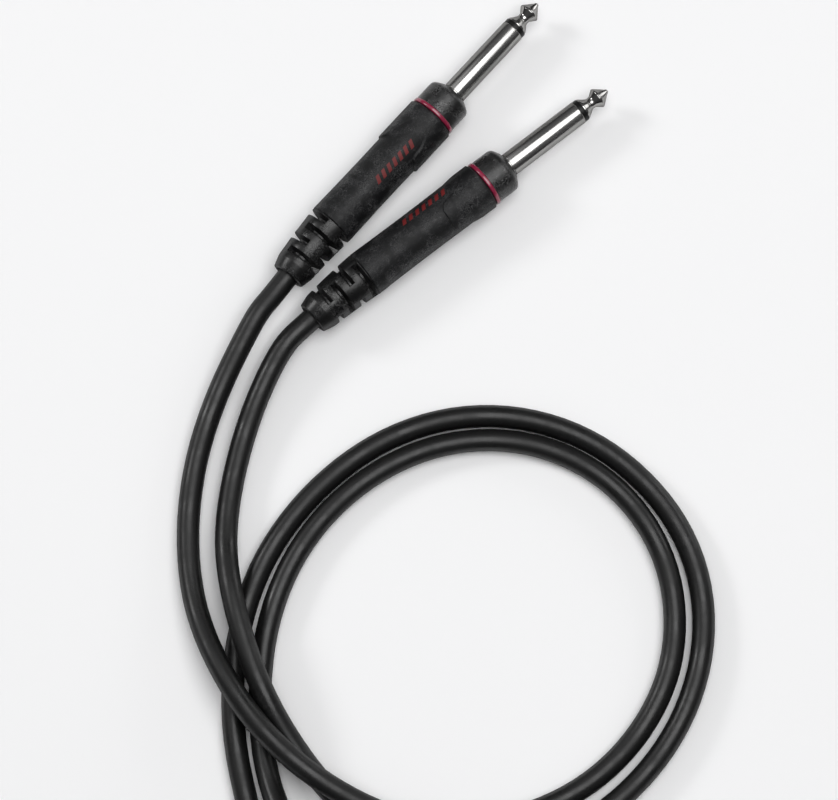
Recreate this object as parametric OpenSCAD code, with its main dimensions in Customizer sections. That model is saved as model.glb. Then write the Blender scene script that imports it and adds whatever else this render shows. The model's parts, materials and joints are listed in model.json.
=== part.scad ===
// Instrument cable: two straight two-pole 6.35 mm plugs with screw-on barrels and slotted
// strain-relief boots, joined by one screened cord of about 3 m tip to tip.
// Frame: millimetres, +Z up, everything lies on the plane Z = 0, origin under the two plugs.
// Each plug is built along its own +Z axis, towards the tip, with Z = 0 at its collar's front face.

/* [Plug shaft] */
// Length of the shaft in front of the collar
shaft_len = 33; // [30:0.25:35]
// Diameter of the sleeve contact
shaft_d = 6.35; // [6:0.05:6.6]
// Diameter of the hole through the sleeve contact
shaft_bore_d = 4.2; // [3.9:0.05:4.6]
// Diameter of the rounded point of the tip contact
tip_nose_d = 1.2; // [0.8:0.1:2]
// Length of the tip's cone
tip_nose_len = 3.2; // [2.4:0.1:4]
// Largest diameter of the tip contact
tip_head_d = 5.6; // [5:0.05:6]
// Length of the straight land on the tip's head
tip_land_len = 0.3; // [0.1:0.05:0.8]
// Length of the cone from the head down to the neck
tip_shoulder_len = 1.6; // [0.8:0.1:2]
// Diameter of the neck that the jack's spring drops into
tip_neck_d = 3.1; // [2.9:0.05:4]
// Length of the neck
tip_neck_len = 1; // [0.6:0.1:2]
// Length of the flare behind the neck
tip_flare_len = 1.9; // [1:0.1:2.4]
// Diameter of the skirt behind the flare
tip_skirt_d = 5.8; // [5:0.05:6]
// Length of the skirt
tip_skirt_len = 0.4; // [0.2:0.1:1]
// Diameter of the rod that runs from the tip through the shaft
rod_d = 2.4; // [2:0.05:2.8]

/* [Insulators] */
// Diameter of the ring between the tip and the sleeve contact
insulator_d = 5.9; // [5.4:0.05:5.95]
// Length of that ring
insulator_len = 1.3; // [0.8:0.1:2]
// How far its spigot reaches into the shaft
insulator_spigot_len = 9; // [5:0.5:12]
// How far the rear bush reaches into the shaft
bush_spigot_len = 14; // [8:0.5:18]
// Thickness of the rear bush's flange
bush_flange_len = 1; // [0.6:0.1:1.6]

/* [Sleeve contact] */
// Diameter of the flange behind the collar's front wall
flange_d = 10.4; // [9.8:0.1:11]
// Diameter of the boss that carries the colour ring and the barrel's thread
boss_d = 9.5; // [9:0.1:9.7]
// Length of the threaded stretch of the boss
thread_len = 6.5; // [5:0.25:8]
// Diameter of the spigot behind the boss
spigot_d = 7; // [6.2:0.1:7.6]
// Length of the spigot
spigot_len = 2; // [1.8:0.1:3]
// Depth of the relief turned at the shaft's root
relief_depth = 0.3; // [0.2:0.05:0.4]
// How far the relief reaches out of the collar
relief_len = 0.4; // [0.2:0.1:0.6]

/* [Collar and colour ring] */
// Outer diameter of the collar
collar_d = 12.4; // [11.8:0.1:12.8]
// Length of the collar
collar_len = 7.4; // [6:0.1:8.6]
// Thickness of the collar's front wall
collar_wall = 1.8; // [1.4:0.1:2.4]
// How far the collar's face falls back from its hole to its edge
collar_dome = 1; // [0.2:0.1:1.2]
// Radius of the collar's rounded front edge
collar_edge_r = 0.8; // [0.3:0.1:1.2]
// Outer diameter of the colour ring
colour_ring_d = 12.9; // [12.4:0.1:13.2]
// Length of the colour ring
colour_ring_len = 1.1; // [0.8:0.1:2]

/* [Barrel] */
// Length of the barrel
barrel_len = 38.8; // [35:0.5:46]
// Wall of the rigid shell
shell_wall = 0.8; // [0.6:0.05:1.2]
// Length of the shell's inner lip at its rear end
lip_len = 2; // [1.2:0.1:3]
// How far the lip stands in from the shell's bore
lip_depth = 0.5; // [0.3:0.05:0.8]
// Wall of the grip at its front end
grip_front_wall = 0.78; // [0.6:0.02:1]
// Wall of the grip at its waist
grip_waist_wall = 0.52; // [0.4:0.02:0.8]
// Wall of the grip at its rear end
grip_rear_wall = 0.68; // [0.5:0.02:1]
// Length of the chamfer at the grip's ends
grip_chamfer = 0.3; // [0.1:0.05:0.5]
// Wall of the grip over the two raised finger pads
pad_wall = 1.04; // [0.9:0.02:1.3]
// Width of a finger pad behind the arch
pad_w = 9.2; // [7:0.2:10]
// Length of a finger pad
pad_len = 13; // [11:0.5:18]
// Distance from the pads' front end to the start of the arch between them
arch_start = 1; // [0.4:0.1:2]
// Length in which the arch opens between the pads
arch_len = 9; // [6:0.5:10]

/* [Liner] */
// Wall of the insulating liner
liner_wall = 0.3; // [0.2:0.05:0.4]
// Gap between the liner's end and the boot's flange
liner_end_gap = 1; // [0.5:0.1:3]

/* [Boot] */
// Length of the boot behind the barrel
boot_len = 17.6; // [16:0.2:20]
// Diameter of the boot at its front end
boot_front_d = 12.5; // [12:0.1:13]
// Diameter of the boot where its last cone starts
boot_shoulder_d = 10.6; // [10:0.1:11.4]
// Length of the last cone
boot_cone_len = 3.1; // [2:0.1:4]
// Diameter of the boot at its rear end
boot_rear_d = 8.9; // [8.2:0.1:9.6]
// Length of the flange that the barrel's lip holds
boot_flange_len = 2.4; // [1.6:0.1:3]
// Number of pairs of strain-relief slots
slot_count = 4; // [3:1:4]
// Distance from one slot to the next
slot_pitch = 3.65; // [3:0.05:3.8]
// Width of a slot at its floor
slot_w = 1.1; // [0.8:0.1:1.5]
// Width of a slot at the boot's surface
slot_mouth_w = 1.9; // [1.2:0.1:2.2]
// Distance from the boot's front face to the floor of its first slots
slot_start = 0.5; // [0.5:0.1:1.2]
// Angle of each of the two bridges that a pair of slots leaves
bridge_angle = 50; // [30:5:80]
// Diameter of the core that the slots leave
slot_core_d = 7.8; // [7.4:0.1:8.4]
// How much the bore widens at the boot's mouth
mouth_flare = 0.5; // [0.2:0.1:0.8]

/* [Cord] */
// Outer diameter of the cord
cable_d = 5.8; // [5.4:0.1:6]
// Wall of the jacket
jacket_wall = 0.95; // [0.8:0.05:1]
// Thickness of the braided shield
shield_t = 0.3; // [0.2:0.05:0.35]
// Diameter of the conductor
conductor_d = 1.2; // [0.9:0.05:1.3]
// Distance from the jacket's stripped end to the end of the rear bush
strip_len = 12; // [11:0.5:13]

/* [Terminals] */
// Thickness of the tip terminal
tip_terminal_t = 0.6; // [0.4:0.05:0.8]
// Diameter of the tip terminal's washer
tip_washer_d = 5; // [4.4:0.1:5.6]
// Length of the tip terminal's tongue
tongue_len = 6; // [5:0.5:7]
// Width of the tip terminal's tongue
tongue_w = 2.6; // [2:0.1:3.2]
// Thickness of the sleeve terminal
strap_t = 0.5; // [0.4:0.05:0.6]
// Width of the sleeve terminal's strap
strap_w = 3; // [2.4:0.1:3]
// Length of the clamp round the jacket
clamp_len = 4; // [3:0.5:6]
// Angle that the clamp's ears cover
clamp_angle = 290; // [240:10:320]
// Diameter of the solder joints
solder_d = 2.6; // [2:0.1:2.8]
// Diameter of the twisted shield tail
pigtail_d = 1.4; // [1:0.1:1.4]
// Distance from the rear bush to the shield's solder joint
shield_joint = 3.5; // [3:0.1:4]
// Length of the shield's tail in front of its solder joint
tail_end_len = 2; // [1.5:0.1:2.5]
// Length of the dielectric in front of the stripped jacket
dielectric_bare = 3.4; // [3:0.1:4]

/* [Clearances] */
// Radial running clearance of the barrel on its thread, the boot's neck and the liner
run_gap = 0.05; // [0.03:0.01:0.08]
// Gap between faces that turn on each other
face_gap = 0.1; // [0.05:0.05:0.2]
// Radial gap between parts that are pressed or moulded together
press_gap = 0.02; // [0.01:0.01:0.04]
// Radial gap between the cord and the boot's bore
cable_gap = 0.12; // [0.08:0.02:0.2]

/* [Coil] */
// Whole turns in the coil
coil_whole_turns = 8; // [6:1:10]
// Layers in the coil
coil_layers = 4; // [2:2:4]
// Mean radius of the coil
coil_r = 31.4; // [29:0.2:34]
// Gap between neighbouring turns and layers
turn_gap = 0.5; // [0.45:0.05:0.8]

/* [Coil tie] */
// Width of the strap that ties the coil
tie_w = 16; // [12:1:20]
// Thickness of the strap
tie_t = 0.8; // [0.6:0.1:1.2]
// Gap between the strap and the coil
tie_gap = 0.3; // [0.2:0.05:0.5]

/* [Hidden] */

$fn = 64;
over = 1; // how far a cutting shape reaches past what it cuts

// ---- stations along a plug's axis ----
tip_len = tip_nose_len + tip_land_len + tip_shoulder_len + tip_neck_len + tip_flare_len + tip_skirt_len;
z_insulator = shaft_len - tip_len;
z_sleeve = z_insulator - insulator_len;
z_flange = -collar_wall;
z_ring = -collar_len;
z_thread = z_ring - colour_ring_len;
z_boss_end = z_thread - thread_len;
z_spigot_end = z_boss_end - spigot_len;
z_bush_end = z_spigot_end - bush_flange_len;
z_rod_end = z_bush_end - tip_terminal_t;
z_barrel = z_thread - face_gap;
z_barrel_end = z_barrel - barrel_len;
z_boot = z_barrel_end - face_gap;
z_boot_end = z_boot - boot_len;
z_jacket = z_bush_end - strip_len;
z_boot_flange = z_barrel_end + lip_len + face_gap + boot_flange_len;
z_liner_end = z_boot_flange + liner_end_gap;

// ---- radii that fit one another ----
cable_r = cable_d / 2;
shaft_hole_r = shaft_d / 2 + run_gap;
core_r = shaft_bore_d / 2 - press_gap;
rod_hole_r = rod_d / 2 + press_gap;
shell_bore_r = boss_d / 2 + run_gap;
shell_r = shell_bore_r + shell_wall;
grip_bore_r = shell_r + press_gap;
grip_front_r = grip_bore_r + grip_front_wall;
grip_waist_r = grip_bore_r + grip_waist_wall;
grip_rear_r = grip_bore_r + grip_rear_wall;
pad_r = grip_bore_r + pad_wall;
boot_flange_r = shell_bore_r - run_gap;
lip_r = shell_bore_r - lip_depth;
boot_neck_r = lip_r - run_gap;
liner_r = shell_bore_r - press_gap;
liner_bore_r = liner_r - liner_wall;
boot_bore_r = cable_r + cable_gap;
shield_r = cable_r - jacket_wall;
dielectric_r = shield_r - shield_t - press_gap;
conductor_r = conductor_d / 2;

// ---- terminals ----
strap_in = spigot_d / 2 + press_gap;
strap_out = strap_in + strap_t;
clamp_in = cable_r + press_gap;
tongue_x = conductor_r + press_gap;
z_tongue_end = z_rod_end - tongue_len;
z_conductor_end = z_rod_end - tongue_len / 3;
z_tip_solder = z_rod_end - tongue_len * 0.6;
z_dielectric = z_jacket + dielectric_bare;
pigtail_x = strap_in - pigtail_d / 2 - press_gap;
z_sleeve_solder = z_bush_end - shield_joint;
z_pigtail_end = z_sleeve_solder + tail_end_len;
z_pigtail = z_jacket + 0.25;
shield_bare = 1.6; // how far the shield shows in front of the stripped jacket

// ---- places of the two plugs: [x, y] of the collar's front centre, and heading towards the tip ----
plug_a_at = [3.15, 19.2];
plug_a_heading = 48;
plug_a_z = pad_r;
barrel_a_roll = 0;
boot_a_roll = 22;
plug_b_at = [17.35, -0.15];
plug_b_heading = 38;
plug_b_z = pad_r;
barrel_b_roll = -57;
boot_b_roll = -52;

// ---- the cord's free stretches: [x, y, lift above lying on the surface] ----
exit_step = 4;
head_a = [
    [-47.3, -39.1, 3.8], [-51.7, -47.7, 3.1], [-57.5, -59.5, 1.6], [-62.5, -74, 0.4], [-65, -89, 0],
    [-65, -104, 0.2], [-62.5, -118, 2.4], [-57, -131, 6.6], [-49.5, -143.5, 8.2], [-40, -154, 9],
    [-28.5, -162.5, 7.6], [-15.5, -169.2, 5.8], [-2, -172, 1.6]
];
tail_a = [
    [-44.8, -120.5, 0], [-46.4, -135, 0], [-46, -149, 0], [-43.5, -162.5, 1.6],
    [-38, -174.5, 7.2], [-28.5, -183.5, 14.5], [-17.5, -187.2, 18.3]
];
head_b = [
    [-42.4, -50.8, 3.4], [-47.5, -61.4, 2], [-51.6, -73.6, 0.6], [-54.5, -87, 0.2], [-55.5, -100, 2.4],
    [-53.5, -113, 6.4], [-50, -126, 7.2], [-45.6, -138, 7.8], [-39.2, -149.2, 2.6],
    [-30.5, -161, 0], [-19.5, -171.5, 0], [-5, -178, 0]
];
tail_b = [
    [-51.5, -119.5, 0], [-53.6, -135.5, 0], [-52.6, -152.5, 0], [-48, -170, 0], [-44.5, -187, 0],
    [-42, -204, 0]
];
// The loop beside the plugs: [angle, radius of the strand from plug A, radius of the strand from B]
loop_centre = [11.5, -120];
loop = [
    [-90, 51.5, 59.5], [-75, 49.5, 58], [-60, 48.6, 56.8], [-45, 48, 55.8], [-30, 47.9, 55.5],
    [-15, 48.3, 55.6], [0, 48.4, 55.9], [15, 48.8, 56.1], [30, 49, 55.8], [45, 49, 55.2],
    [60, 48.9, 55.1], [75, 48.7, 54.9], [90, 48.4, 54.8], [105, 48.4, 54.8], [120, 48.6, 55],
    [135, 49.4, 55.6], [150, 51, 57.3], [165, 53.3, 60]
];

// ---- the coil ----
coil_centre = [0, -226];
coil_start_angle = 190;
coil_end_angle = 90;
coil_step = cable_d + turn_gap;
coil_turns = coil_whole_turns + (coil_end_angle + 360 - coil_start_angle) / 360;
layer_turns = coil_turns / coil_layers;
coil_in_r = coil_r - layer_turns * coil_step / 2;
coil_out_r = coil_r + layer_turns * coil_step / 2;
climb_turns = 0.5;
coil_end_len = cable_d + 0.2;
run_sides = 8;
coil_sides = 6;
coil_rings_per_turn = 24;
tie_lift = tie_t + tie_gap;
tie_angle = 270;
tie_flat_angle = 24; // the coil is raised level for this far on each side of the strap
tie_ramp_angle = 26;

// ---------------------------------------------------------------- functions

function unit(v) = v / norm(v);
function heading(a) = [cos(a), sin(a), 0];
function smooth(t) = let (c = min(1, max(0, t))) c * c * (3 - 2 * c);

// Quarter of an ellipse in a turned outline, from [r0, z0] to [r1, z1], leaving along the radius
function quarter(r0, z0, r1, z1, steps = 6) =
    [for (i = [0:steps]) [r0 + (r1 - r0) * sin(90 * i / steps), z1 + (z0 - z1) * cos(90 * i / steps)]];

// Rectangle with rounded corners, from [x0, y0] to [x1, y1]
function rounded(x0, y0, x1, y1, r, steps = 5) = concat(
    [for (i = [0:steps]) [x1 - r + r * sin(90 * i / steps), y0 + r - r * cos(90 * i / steps)]],
    [for (i = [0:steps]) [x1 - r + r * cos(90 * i / steps), y1 - r + r * sin(90 * i / steps)]],
    [for (i = [0:steps]) [x0 + r - r * sin(90 * i / steps), y1 - r + r * cos(90 * i / steps)]],
    [for (i = [0:steps]) [x0 + r - r * cos(90 * i / steps), y0 + r - r * sin(90 * i / steps)]]);

// Where a cord leaves a plug: the middle of the boot's rear face, and the way back along the plug
function boot_exit(at, a, z) = [at[0], at[1], z] + z_boot_end * heading(a);

// Rings lie at the knots of a uniform cubic B-spline over the route's points
function knots(p) = [for (i = [1:len(p) - 2]) (p[i - 1] + 4 * p[i] + p[i + 1]) / 6];
function lying(points) = [for (p = points) [p[0], p[1], p[2] + cable_r]];
function leaving(e, a) = [for (i = [-1:2]) e - i * exit_step * heading(a)];
function arriving(e, d) = [e - coil_end_len * d, e, e + coil_end_len * d];
function loop_points(strand) =
    [for (p = loop) [loop_centre[0], loop_centre[1], cable_r] + p[strand] * heading(p[0])];

// The coil spirals in on one layer and out on the next, and climbs where the spiral reverses
function coil_radius(u) = let (k = min(coil_layers - 1, floor(u)), f = u - k)
    k % 2 == 0 ? coil_out_r + (coil_in_r - coil_out_r) * f : coil_in_r + (coil_out_r - coil_in_r) * f;
function coil_lift(u, k = 1) = k >= coil_layers ? 0 :
    coil_step * smooth((u - k) * layer_turns / climb_turns + 0.5) + coil_lift(u, k + 1);
// Where the strap passes under it, the coil lies higher by the strap and its gap
function tie_raise(a) = let (off = abs((a - tie_angle + 540) % 360 - 180))
    tie_lift * (1 - smooth((off - tie_flat_angle) / tie_ramp_angle));
function coil_point(t) = let (a = coil_start_angle + 360 * t, u = t / layer_turns)
    [coil_centre[0] + coil_radius(u) * cos(a), coil_centre[1] + coil_radius(u) * sin(a),
     cable_r + coil_lift(u) + tie_raise(a)];
coil_count = round(coil_turns * coil_rings_per_turn);
coil_turning = [for (i = [0:coil_count]) coil_point(coil_turns * i / coil_count)];
coil_in_dir = unit(coil_point(0.001) - coil_point(0));
coil_out_dir = unit(coil_point(coil_turns) - coil_point(coil_turns - 0.001));
coil_in_end = coil_turning[0] - coil_end_len * coil_in_dir;
coil_out_end = coil_turning[coil_count] + coil_end_len * coil_out_dir;
coil_path = concat([coil_in_end], coil_turning, [coil_out_end]);

exit_a = boot_exit(plug_a_at, plug_a_heading, plug_a_z);
exit_b = boot_exit(plug_b_at, plug_b_heading, plug_b_z);
route_a = concat(leaving(exit_a, plug_a_heading), lying(head_a), loop_points(1), lying(tail_a),
    arriving(coil_out_end, -coil_out_dir));
route_b = concat(leaving(exit_b, plug_b_heading), lying(head_b), loop_points(2), lying(tail_b),
    arriving(coil_in_end, coil_in_dir));
run_a = knots(route_a);
run_b = knots(route_b);

function path_len(p, i = 1, s = 0) = i == len(p) ? s : path_len(p, i + 1, s + norm(p[i] - p[i - 1]));
half_turn = coil_rings_per_turn / 2;
coil_self_gap = min([for (i = [0:coil_count - half_turn]) for (j = [i + half_turn:coil_count])
    norm(coil_turning[i] - coil_turning[j])]) - cable_d;
echo(coil_self_gap = coil_self_gap);
echo(free_cord = path_len(run_a) + path_len(run_b) + path_len(coil_path));

// ---------------------------------------------------------------- shared shapes

// Turned shape from [radius, z] points
module turned(points) {
    rotate_extrude() polygon(points);
}

// Straight tube between two stations, from_z nearer to the tip
module pipe(r, bore_r, from_z, to_z) {
    turned([[bore_r, to_z], [r, to_z], [r, from_z], [bore_r, from_z]]);
}

module rod(r, from_z, to_z) {
    translate([0, 0, to_z]) cylinder(r = r, h = from_z - to_z);
}

// One skin of triangles along ring centres, square to the path at both ends
module tube(path, sides, first_dir, last_dir) {
    n = len(path);
    dirs = [for (i = [0:n - 1]) i == 0 ? first_dir : i == n - 1 ? last_dir : unit(path[i + 1] - path[i - 1])];
    points = [for (i = [0:n - 1]) let (side = unit(cross(dirs[i], [0, 0, 1])), up = cross(side, dirs[i]))
        for (j = [0:sides - 1]) let (q = 360 * j / sides - 90)
            path[i] + cable_r * (cos(q) * side + sin(q) * up)];
    skin = [for (i = [0:n - 2]) for (j = [0:sides - 1])
        let (a = i * sides + j, b = i * sides + (j + 1) % sides)
        for (f = [[a, a + sides, b + sides], [a, b + sides, b]]) f];
    front = [for (j = [1:sides - 2]) [0, j, j + 1]];
    rear = [for (j = [1:sides - 2]) (n - 1) * sides * [1, 1, 1] + [0, j + 1, j]];
    polyhedron(points = points, faces = concat(front, skin, rear));
}

// Puts a part of a plug in its place, rolled about its own axis
module in_plug_a(roll = 0) {
    translate([plug_a_at[0], plug_a_at[1], plug_a_z]) rotate([0, 0, plug_a_heading])
        rotate([0, 90, 0]) rotate([0, 0, roll]) children();
}

module in_plug_b(roll = 0) {
    translate([plug_b_at[0], plug_b_at[1], plug_b_z]) rotate([0, 0, plug_b_heading])
        rotate([0, 90, 0]) rotate([0, 0, roll]) children();
}

// ---------------------------------------------------------------- the plug's pieces

// Turned tip with the rod that carries the signal back to its terminal
module tip_contact() {
    z_head = shaft_len - tip_nose_len;
    z_land = z_head - tip_land_len;
    z_neck = z_land - tip_shoulder_len;
    z_flare = z_neck - tip_neck_len;
    z_skirt = z_flare - tip_flare_len;
    turned(concat(
        quarter(0, shaft_len, tip_nose_d / 2, shaft_len - 0.4 * tip_nose_d, 4),
        [[tip_head_d / 2, z_head], [tip_head_d / 2, z_land], [tip_neck_d / 2, z_neck],
         [tip_neck_d / 2, z_flare], [tip_skirt_d / 2, z_skirt], [tip_skirt_d / 2, z_insulator],
         [rod_d / 2, z_insulator], [rod_d / 2, z_rod_end], [0, z_rod_end]]));
}

// Ring between tip and sleeve contact, with the spigot that centres the rod
module tip_insulator() {
    pipe(insulator_d / 2, rod_hole_r, z_insulator, z_sleeve);
    pipe(core_r, rod_hole_r, z_sleeve + over / 2, z_sleeve - insulator_spigot_len);
}

// Shaft, flange, threaded boss and rear spigot turned from one bar
module sleeve_contact() {
    edge = 0.2;
    bore_r = shaft_bore_d / 2;
    r = shaft_d / 2;
    root_r = r - relief_depth;
    turned([
        [bore_r, z_sleeve], [r - edge, z_sleeve], [r, z_sleeve - edge], [r, relief_len],
        [root_r, relief_len], [root_r, z_flange],
        [flange_d / 2, z_flange], [flange_d / 2, z_ring], [boss_d / 2, z_ring],
        [boss_d / 2, z_boss_end + edge], [boss_d / 2 - edge, z_boss_end], [spigot_d / 2, z_boss_end],
        [spigot_d / 2, z_spigot_end], [bore_r, z_spigot_end]
    ]);
}

// Bush that holds the rod's rear end clear of the sleeve contact
module rear_bush() {
    pipe(core_r, rod_hole_r, z_spigot_end + bush_spigot_len, z_spigot_end - over / 2);
    pipe(spigot_d / 2, rod_hole_r, z_spigot_end, z_bush_end);
}

// Washer on the rod's end with a bent tongue for the conductor
module tip_terminal() {
    hole_r = 0.7;
    pipe(tip_washer_d / 2, rod_hole_r, z_bush_end, z_rod_end);
    difference() {
        translate([tongue_x, -tongue_w / 2, z_tongue_end])
            cube([tip_terminal_t, tongue_w, z_bush_end - z_tongue_end]);
        rod(rod_hole_r, z_bush_end + over, z_rod_end);
        translate([0, 0, z_tongue_end + 1.4]) rotate([0, 90, 0]) cylinder(r = hole_r, h = tip_washer_d);
    }
}

// Ring on the spigot, strap along the wires, and ears clamped round the jacket
module sleeve_terminal() {
    ring_len = spigot_len - 0.4;
    z_strap = z_boss_end - ring_len;
    z_clamp = z_jacket - 1;
    pipe(strap_out, strap_in, z_boss_end, z_strap);
    intersection() {
        rotate([90, 0, 0]) linear_extrude(height = strap_w, center = true) polygon([
            [-strap_in - strap_t / 2, z_boss_end - ring_len / 2], [-strap_out, z_boss_end - ring_len / 2],
            [-strap_out, z_clamp - 1], [-clamp_in - strap_t / 2, z_clamp - 1.5],
            [-clamp_in - strap_t / 2, z_clamp - 0.5], [-strap_in - 0.05, z_clamp + 1],
            [-strap_in - 0.05, z_strap]
        ]);
        rod(liner_bore_r - run_gap, z_boss_end, z_clamp - clamp_len);
    }
    rotate([0, 0, 180 - clamp_angle / 2]) rotate_extrude(angle = clamp_angle)
        translate([clamp_in, z_clamp - clamp_len]) square([strap_t, clamp_len]);
}

// Solder over the conductor's end on the tongue
module tip_solder() {
    difference() {
        translate([conductor_r / 2, 0, z_tip_solder]) sphere(d = solder_d);
        translate([tongue_x, -solder_d, z_tip_solder - solder_d]) cube(2 * solder_d);
        conductor();
    }
}

// Solder that joins the shield's tail to the strap
module sleeve_solder() {
    difference() {
        translate([-pigtail_x, 0, z_sleeve_solder]) sphere(d = solder_d);
        translate([-strap_in - 2 * solder_d, -solder_d, z_sleeve_solder - solder_d]) cube(2 * solder_d);
        shield_tail();
    }
}

// Front ring with a domed face, seated on the sleeve contact's flange
module collar() {
    r = collar_d / 2;
    flange_hole_r = flange_d / 2 + press_gap;
    turned(concat(
        [[shaft_hole_r, 0], [shaft_hole_r + 0.6, 0]],
        quarter(r - collar_edge_r, -collar_dome, r, -collar_dome - collar_edge_r),
        [[r, z_ring], [flange_hole_r, z_ring], [flange_hole_r, z_flange], [shaft_hole_r, z_flange]]));
}

// Thin coding ring between the collar and the barrel
module colour_ring() {
    edge = 0.2;
    r = colour_ring_d / 2;
    bore_r = boss_d / 2 + press_gap;
    turned([
        [bore_r, z_ring], [r - edge, z_ring], [r, z_ring - edge], [r, z_thread + edge],
        [r - edge, z_thread], [bore_r, z_thread]
    ]);
}

// Rigid tube that screws on to the boss, with a lip that holds the boot
module barrel_shell() {
    turned([
        [shell_bore_r, z_barrel], [shell_r, z_barrel], [shell_r, z_barrel_end], [lip_r, z_barrel_end],
        [lip_r, z_barrel_end + lip_len], [shell_bore_r, z_barrel_end + lip_len]
    ]);
}

// Radius of the grip at a share t of its length, front to rear, through its waist
function grip_r(t) = let (mid = 2 * grip_waist_r - (grip_front_r + grip_rear_r) / 2)
    grip_front_r * (1 - t) * (1 - t) + 2 * mid * t * (1 - t) + grip_rear_r * t * t;

// Half the height of a finger pad at a distance s behind its front end: the two meet at the front
function pad_half(s) = pad_w / 2 + (pad_r - pad_w / 2) * (1 - smooth((s - arch_start) / arch_len));

// Soft sleeve moulded over the shell: waisted, with two finger pads that leave an arch between them
module barrel_grip() {
    steps = 8;
    edge = 0.25;
    corner = 2.5;
    z_front = z_barrel - grip_chamfer;
    z_rear = z_barrel_end + grip_chamfer;
    z_pad_end = z_front - pad_len;
    root_r = grip_bore_r + grip_waist_wall / 2;
    turned(concat(
        [[grip_bore_r, z_barrel_end], [grip_bore_r, z_barrel], [grip_front_r - grip_chamfer, z_barrel]],
        [for (i = [0:steps]) [grip_r(i / steps), z_front + (z_rear - z_front) * i / steps]],
        [[grip_rear_r - grip_chamfer, z_barrel_end]]));
    half = concat(
        [[pad_r + over, z_front + over], [pad_r + over, z_front - arch_start]],
        [for (i = [1:steps]) let (s = arch_start + arch_len * i / steps) [pad_half(s), z_front - s]],
        quarter(pad_w / 2, z_pad_end + corner, pad_w / 2 - corner, z_pad_end));
    other_half = [for (i = [len(half) - 1:-1:0]) [-half[i][0], half[i][1]]];
    intersection() {
        turned([
            [root_r, z_pad_end], [pad_r - edge, z_pad_end], [pad_r, z_pad_end + edge],
            [pad_r, z_front - edge], [grip_front_r, z_front], [root_r, z_front]
        ]);
        rotate([90, 0, 0]) linear_extrude(height = 4 * pad_r, center = true)
            polygon(concat(half, other_half));
    }
}

// Insulating tube round the solder joints
module liner() {
    pipe(liner_r, liner_bore_r, z_bush_end, z_liner_end);
}

// One slot with its middle at a distance s behind the boot's front face, wider at the surface
module slot(s) {
    r = boot_r(s);
    slope = (slot_mouth_w - slot_w) / 2 / (r - slot_core_d / 2);
    outer_w = slot_w + 2 * slope * (r + over - slot_core_d / 2);
    rotate_extrude(angle = 180 - bridge_angle) translate([0, z_boot - s]) polygon([
        [slot_core_d / 2, -slot_w / 2], [r + over, -outer_w / 2],
        [r + over, outer_w / 2], [slot_core_d / 2, slot_w / 2]
    ]);
}

// Outer radius of the boot at a distance s behind its front face
function boot_r(s) = (boot_front_d - (boot_front_d - boot_shoulder_d) * s / (boot_len - boot_cone_len)) / 2;

// Bending relief: tapered sleeve with pairs of slots, each pair a quarter turn on from the last
module boot() {
    rim = 0.6;
    z_flange_rear = z_boot_flange - boot_flange_len;
    z_shoulder = z_boot_end + boot_cone_len;
    difference() {
        turned([
            [boot_bore_r, z_boot_flange], [boot_flange_r, z_boot_flange], [boot_flange_r, z_flange_rear],
            [boot_neck_r, z_flange_rear], [boot_neck_r, z_boot], [boot_r(0), z_boot],
            [boot_r(boot_len - boot_cone_len), z_shoulder], [boot_rear_d / 2, z_boot_end + rim / 2],
            [boot_rear_d / 2 - rim, z_boot_end], [boot_bore_r + mouth_flare, z_boot_end],
            [boot_bore_r, z_boot_end + 2 * mouth_flare]
        ]);
        for (i = [0:slot_count - 1]) for (side = [0, 180])
            rotate([0, 0, 90 * i + side + bridge_angle / 2]) slot(slot_start + slot_w / 2 + i * slot_pitch);
    }
}

// The cord's jacket inside the plug, up to where it is stripped
module jacket_end() {
    pipe(cable_r, shield_r + press_gap, z_jacket, z_boot_end);
}

// The shield's strands twisted into a tail beside the strap
module shield_tail() {
    translate([-pigtail_x, 0, 0]) rod(pigtail_d / 2, z_pigtail_end, z_pigtail);
}

// Braided shield inside the jacket, gathered into its tail at the stripped end
module shield() {
    link_r = 0.5;
    pipe(shield_r, dielectric_r + press_gap, z_jacket + shield_bare, z_boot_end);
    translate([-(dielectric_r + shield_r) / 2, 0, z_jacket + shield_bare / 2]) rotate([0, -90, 0])
        cylinder(r = link_r, h = pigtail_x - (dielectric_r + shield_r) / 2);
    shield_tail();
}

module dielectric() {
    pipe(dielectric_r, conductor_r + press_gap, z_dielectric, z_boot_end);
}

module conductor() {
    rod(conductor_r, z_conductor_end, z_boot_end);
}

// Strap round the coil: a closed band whose inner faces stand off the turns by the strap's gap
module tie_band() {
    bend = 3;
    near = sqrt(pow(coil_in_r - cable_r, 2) - tie_w * tie_w / 4) - tie_gap;
    far = coil_out_r + cable_r + tie_gap;
    top = tie_lift + (coil_layers - 1) * coil_step + cable_d + tie_gap;
    translate([coil_centre[0] - tie_w / 2, coil_centre[1], 0]) rotate([90, 0, 90])
        linear_extrude(height = tie_w) difference() {
            polygon(rounded(-far - tie_t, 0, -near + tie_t, top + tie_t, bend + tie_t));
            polygon(rounded(-far, tie_t, -near, top, bend));
        }
}

// ---------------------------------------------------------------- nodes, plug A

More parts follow.
